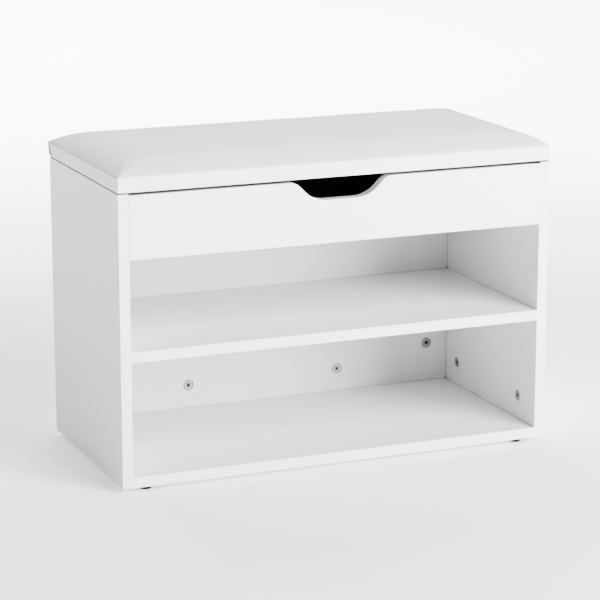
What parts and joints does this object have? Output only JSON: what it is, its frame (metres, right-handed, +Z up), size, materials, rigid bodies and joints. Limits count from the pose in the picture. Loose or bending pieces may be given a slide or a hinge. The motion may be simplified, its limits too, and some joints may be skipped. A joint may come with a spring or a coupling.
{
  "type": "entryway bench",
  "caption": "Entryway bench: a board case with open bays for shoes, and a padded seat that lifts as the lid of a storage compartment, with a finger slot in its front panel.",
  "frame": {"origin": "on the floor, in the middle of the space that the bench takes up with its hinges", "axes": "+Z up; -Y towards a person who faces the open bays; +X to that person's right, along the seat"},
  "size_m": [0.631, 0.307, 0.4465],
  "materials": {
    "white_board": "satin",
    "edge_band": "satin",
    "cam_zinc": "satin",
    "bolt_steel": "satin",
    "dowel_wood": "matte",
    "glide_plastic": "satin",
    "hinge_steel": "satin",
    "bumper_pad": "matte",
    "raw_board": "matte",
    "seat_foam": "matte",
    "seat_leather": "satin",
    "dust_cloth": "matte",
    "staple_wire": "satin"
  },
  "bodies": {
    "cabinet": {"back_panel": "white_board", "back_panel_bands": "edge_band", "back_panel_cams": "cam_zinc", "base_panel": "white_board", "base_panel_bands": "edge_band", "base_panel_cam_bolts": "bolt_steel", "compartment_floor": "white_board", "compartment_floor_cams": "cam_zinc", "front_panel": "white_board", "front_panel_bands": "edge_band", "front_panel_cams": "cam_zinc", "glide_front_left": "glide_plastic", "glide_front_right": "glide_plastic", "glide_nails": "bolt_steel", "glide_rear_left": "glide_plastic", "glide_rear_right": "glide_plastic", "hinge_base_screws": "hinge_steel", "left_hinge_base_leaf": "hinge_steel", "left_hinge_pin": "hinge_steel", "left_side_panel": "white_board", "left_side_panel_bands": "edge_band", "left_side_panel_cam_bolts": "bolt_steel", "left_side_panel_cams": "cam_zinc", "lid_bumpers": "bumper_pad", "middle_shelf": "white_board", "middle_shelf_bands": "edge_band", "middle_shelf_cams": "cam_zinc", "right_hinge_base_leaf": "hinge_steel", "right_hinge_pin": "hinge_steel", "right_side_panel": "white_board", "right_side_panel_bands": "edge_band", "right_side_panel_cam_bolts": "bolt_steel", "right_side_panel_cams": "cam_zinc", "wooden_dowels": "dowel_wood"},
    "lid": {"seat_board": "raw_board", "foam_pad": "seat_foam", "seat_cover": "seat_leather", "dust_cover": "dust_cloth", "staples": "staple_wire", "left_hinge_lid_leaf": "hinge_steel", "right_hinge_lid_leaf": "hinge_steel", "hinge_lid_screws": "hinge_steel"}
  },
  "joints": [
    {"name": "seat_hinge", "type": "hinge", "parent": "cabinet", "child": "lid", "pos_m": [0, 0.1505, 0.404], "axis": [-1, 0, 0], "range_deg": [0, 85]}
  ]
}
